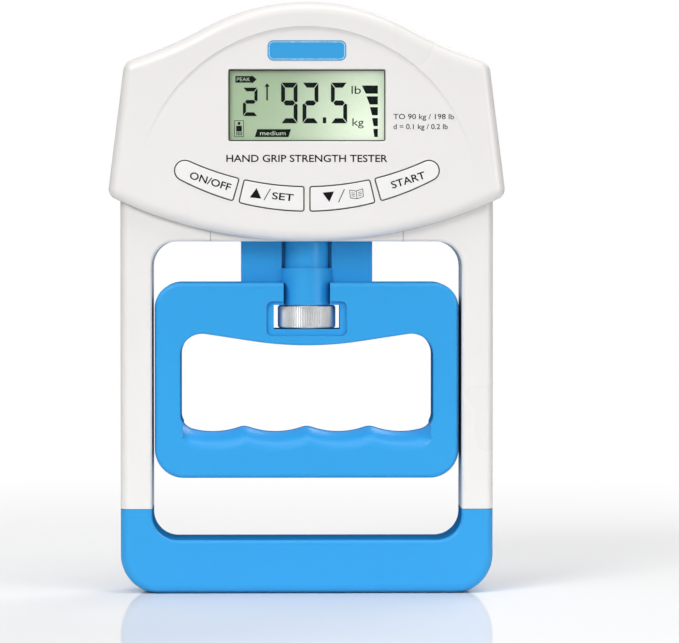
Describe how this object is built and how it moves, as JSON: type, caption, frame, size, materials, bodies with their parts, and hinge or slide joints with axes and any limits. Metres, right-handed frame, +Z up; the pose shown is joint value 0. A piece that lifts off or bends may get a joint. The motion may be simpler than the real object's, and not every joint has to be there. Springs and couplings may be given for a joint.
{
  "type": "hand dynamometer",
  "caption": "Hand-held grip strength meter: white stirrup frame with a display head, blue base, and a blue scalloped pull grip on a knurled adjusting wheel.",
  "frame": {"origin": "centre of the flat underside of the base, in the plane of the adjusting screw", "axes": "+Z up through the head, +X to the right seen from the display, +Y to the back; the display faces -Y"},
  "size_m": [0.1272, 0.0297, 0.1902],
  "materials": {
    "white_shell": "satin",
    "blue_shell": "satin",
    "key_white": "satin",
    "badge": "gloss",
    "window": "gloss",
    "lcd_glass": "gloss",
    "black_rubber": "matte",
    "connector_rubber": "matte",
    "inner_plastic": "matte",
    "circuit_board": "satin",
    "resin": "satin",
    "gauge_resin": "satin",
    "load_cell_alloy": "satin",
    "plated_steel": "satin",
    "screw_steel": "satin",
    "spring_steel": "satin",
    "wheel_steel": "satin",
    "nut_brass": "satin",
    "cell_jacket": "gloss",
    "lead_red": "satin",
    "lead_black": "satin"
  },
  "bodies": {
    "housing": {"front_cover": "white_shell", "front_frame": "white_shell", "rear_shell": "white_shell", "base_front_shell": "blue_shell", "base_rear_shell": "blue_shell", "stem_guide": "white_shell", "badge_plate": "badge", "display_window": "window", "display_panel": "lcd_glass", "display_gasket": "black_rubber", "display_holder": "inner_plastic", "zebra_strips": "connector_rubber", "main_board": "circuit_board", "chip_cap": "resin", "switch_bodies": "resin", "board_screws": "screw_steel", "load_cell": "load_cell_alloy", "strain_gauges": "gauge_resin", "load_cell_bracket": "plated_steel", "load_cell_screws": "screw_steel", "bracket_screws": "screw_steel", "guide_screws": "screw_steel", "battery_upper": "cell_jacket", "battery_lower": "cell_jacket", "battery_springs": "spring_steel", "battery_plates": "spring_steel", "battery_leads": "lead_red", "load_cell_leads": "lead_black", "rear_screws": "screw_steel", "base_screws": "screw_steel"},
    "battery_door": {"battery_door": "white_shell"},
    "load_nut": {"load_nut": "nut_brass"},
    "handle": {"grip_front": "blue_shell", "grip_rear": "blue_shell", "handle_stem": "blue_shell", "grip_screws": "screw_steel"},
    "adjuster": {"adjust_wheel": "wheel_steel", "adjust_screw": "wheel_steel"},
    "on_button": {"key_on": "key_white", "plunger_on": "resin"},
    "up_button": {"key_up": "key_white", "plunger_up": "resin"},
    "down_button": {"key_down": "key_white", "plunger_down": "resin"},
    "start_button": {"key_start": "key_white", "plunger_start": "resin"}
  },
  "joints": [
    {"name": "squeeze", "type": "slide", "parent": "housing", "child": "load_nut", "axis": [0, 0, 1], "range_m": [-0.0005, 0], "stiffness_N_per_m": 6000, "deforming": ["load_cell"]},
    {"name": "grip_adjust", "type": "slide", "parent": "load_nut", "child": "handle", "axis": [0, 0, 1], "range_m": [-0.008, 0.008]},
    {"name": "wheel_spin", "type": "hinge", "parent": "handle", "child": "adjuster", "pos_m": [0, 0, 0.0891], "axis": [0, 0, 1], "range_deg": [-2900, 2900]},
    {"name": "on_press", "type": "slide", "parent": "housing", "child": "on_button", "axis": [0, 1, 0], "range_m": [0, 0.0005], "stiffness_N_per_m": 400},
    {"name": "up_press", "type": "slide", "parent": "housing", "child": "up_button", "axis": [0, 1, 0], "range_m": [0, 0.0005], "stiffness_N_per_m": 400},
    {"name": "down_press", "type": "slide", "parent": "housing", "child": "down_button", "axis": [0, 1, 0], "range_m": [0, 0.0005], "stiffness_N_per_m": 400},
    {"name": "start_press", "type": "slide", "parent": "housing", "child": "start_button", "axis": [0, 1, 0], "range_m": [0, 0.0005], "stiffness_N_per_m": 400},
    {"name": "door_lift", "type": "slide", "parent": "housing", "child": "battery_door", "axis": [0, 1, 0], "range_m": [0, 0.03]}
  ],
  "couplings": [
    {"joint": "wheel_spin", "follows": "grip_adjust", "rad_per_m": 6283.2}
  ]
}
